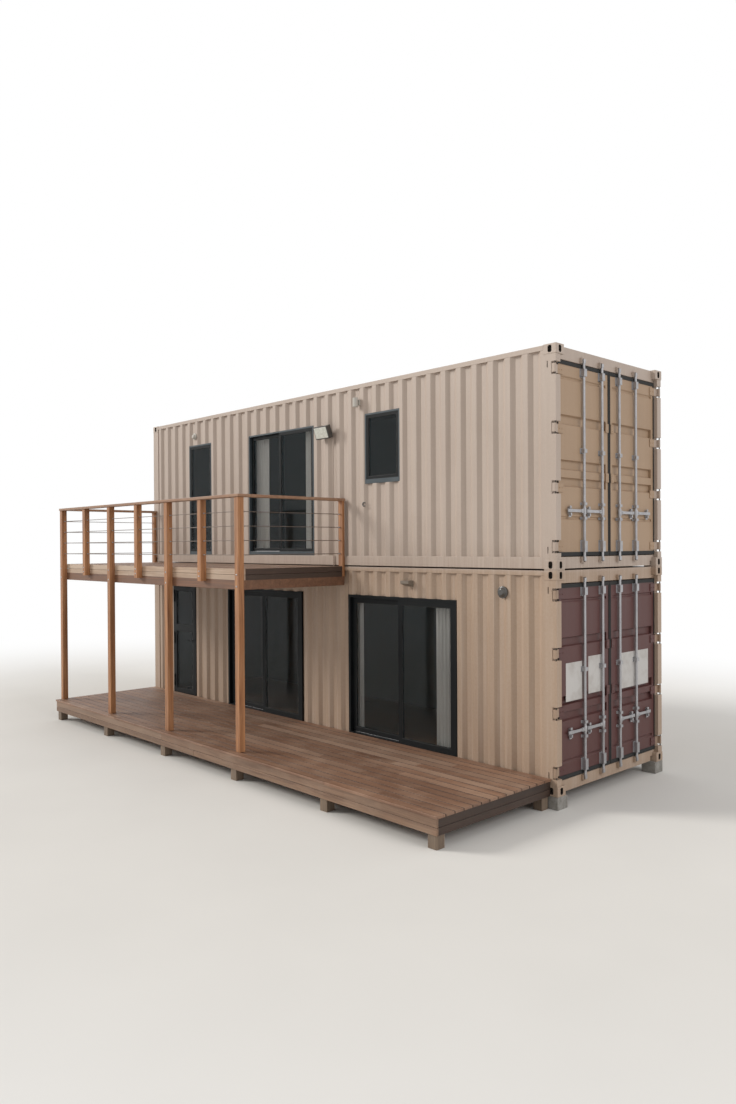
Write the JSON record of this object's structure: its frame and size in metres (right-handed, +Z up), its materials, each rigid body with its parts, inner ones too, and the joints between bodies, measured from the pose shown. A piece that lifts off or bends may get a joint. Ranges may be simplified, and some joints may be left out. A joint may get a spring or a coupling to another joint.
{
  "type": "two-storey container cabin",
  "caption": "Two stacked freight containers made into a cabin, with glazed doors, a timber deck, a cable-railed balcony and working cargo doors.",
  "frame": {"origin": "on the ground under the middle of the whole object", "axes": "+Z up, +X towards the cargo-door end, -Y towards the deck front"},
  "size_m": [9.125, 4.388, 5.3323],
  "materials": {
    "container_paint": "satin paint, faded and streaked",
    "maroon_paint": "satin paint, scuffed",
    "deck_timber": "oiled hardwood boards",
    "post_timber": "oiled hardwood",
    "pale_timber": "rough sawn",
    "plywood": "varnished plywood",
    "black_aluminium": "black powder coat",
    "bare_aluminium": "brushed",
    "clear_glass": "double glazing",
    "galvanised_steel": "dull galvanised",
    "bare_steel": "wire rope",
    "dark_steel": "blackened steel",
    "black_rubber": "matt",
    "white_lining": "matt wall panel",
    "concrete": "rough concrete",
    "lamp_metal": "grey enamel",
    "curtain_cloth": "sheer cloth"
  },
  "bodies": {
    "root": {"back_walls": "container_paint", "balcony_beams": "post_timber", "balcony_boards": "deck_timber", "balcony_cables": "bare_steel", "balcony_handrails": "post_timber", "balcony_posts": "post_timber", "blind_end_walls": "container_paint", "ceilings": "white_lining", "container_floors": "plywood", "container_roofs": "container_paint", "corner_castings": "container_paint", "corner_posts": "container_paint", "curtain_rails": "bare_aluminium", "curtains": "curtain_cloth", "deck_boards": "deck_timber", "deck_feet": "pale_timber", "door_heads_and_sills": "black_aluminium", "door_jambs": "black_aluminium", "fixed_glass": "clear_glass", "fixed_sashes": "black_aluminium", "floor_cross_members": "dark_steel", "footings": "concrete", "frame_rails": "container_paint", "hinge_pins": "dark_steel", "jamb_hinges": "black_aluminium", "lining_over_openings": "white_lining", "lower_front_wall": "container_paint", "rod_keepers": "container_paint", "sliding_tracks": "bare_aluminium", "timber_fascias": "deck_timber", "timber_joists": "pale_timber", "upper_cargo_leaves": "container_paint", "upper_door_fittings": "galvanised_steel", "upper_door_gaskets": "black_rubber", "upper_front_wall": "container_paint", "upper_lock_rods": "galvanised_steel", "wall_fittings": "lamp_metal", "wall_lamps": "lamp_metal", "wall_lining": "white_lining", "walls_over_openings": "container_paint"},
    "hinged_door": {"hinged_door_leaf": "black_aluminium", "hinged_door_glass": "clear_glass"},
    "wide_slider": {"wide_slider_leaf": "black_aluminium", "wide_slider_glass": "clear_glass"},
    "main_slider": {"main_slider_leaf": "black_aluminium", "main_slider_glass": "clear_glass"},
    "front_cargo_door": {"front_cargo_leaf": "maroon_paint", "front_cargo_gasket": "black_rubber", "front_door_fittings": "galvanised_steel"},
    "back_cargo_door": {"back_cargo_leaf": "maroon_paint", "back_cargo_gasket": "black_rubber", "back_door_fittings": "galvanised_steel"},
    "front_inner_lock": {"front_inner_rod": "galvanised_steel"},
    "front_outer_lock": {"front_outer_rod": "galvanised_steel"},
    "back_inner_lock": {"back_inner_rod": "galvanised_steel"},
    "back_outer_lock": {"back_outer_rod": "galvanised_steel"}
  },
  "joints": [
    {"name": "hinged_door_swing", "type": "hinge", "parent": "root", "child": "hinged_door", "pos_m": [-3.8245, -0.248, 1.35], "axis": [0, 0, -1], "range_deg": [0, 110]},
    {"name": "wide_slider_slide", "type": "slide", "parent": "root", "child": "wide_slider", "axis": [1, 0, 0], "range_m": [0, 0.9275]},
    {"name": "main_slider_slide", "type": "slide", "parent": "root", "child": "main_slider", "axis": [1, 0, 0], "range_m": [0, 0.9475]},
    {"name": "front_cargo_swing", "type": "hinge", "parent": "root", "child": "front_cargo_door", "pos_m": [4.5365, -0.228, 1.44], "axis": [0, 0, -1], "range_deg": [0, 170]},
    {"name": "back_cargo_swing", "type": "hinge", "parent": "root", "child": "back_cargo_door", "pos_m": [4.5365, 2.178, 1.44], "axis": [0, 0, 1], "range_deg": [0, 260]},
    {"name": "front_inner_turn", "type": "hinge", "parent": "front_cargo_door", "child": "front_inner_lock", "pos_m": [4.5305, 0.775, 1.44], "axis": [0, 0, -1], "range_deg": [-90, 0]},
    {"name": "front_outer_turn", "type": "hinge", "parent": "front_cargo_door", "child": "front_outer_lock", "pos_m": [4.5305, 0.375, 1.44], "axis": [0, 0, -1], "range_deg": [-90, 0]},
    {"name": "back_inner_turn", "type": "hinge", "parent": "back_cargo_door", "child": "back_inner_lock", "pos_m": [4.5305, 1.175, 1.44], "axis": [0, 0, 1], "range_deg": [-90, 0]},
    {"name": "back_outer_turn", "type": "hinge", "parent": "back_cargo_door", "child": "back_outer_lock", "pos_m": [4.5305, 1.575, 1.44], "axis": [0, 0, 1], "range_deg": [-90, 0]}
  ]
}
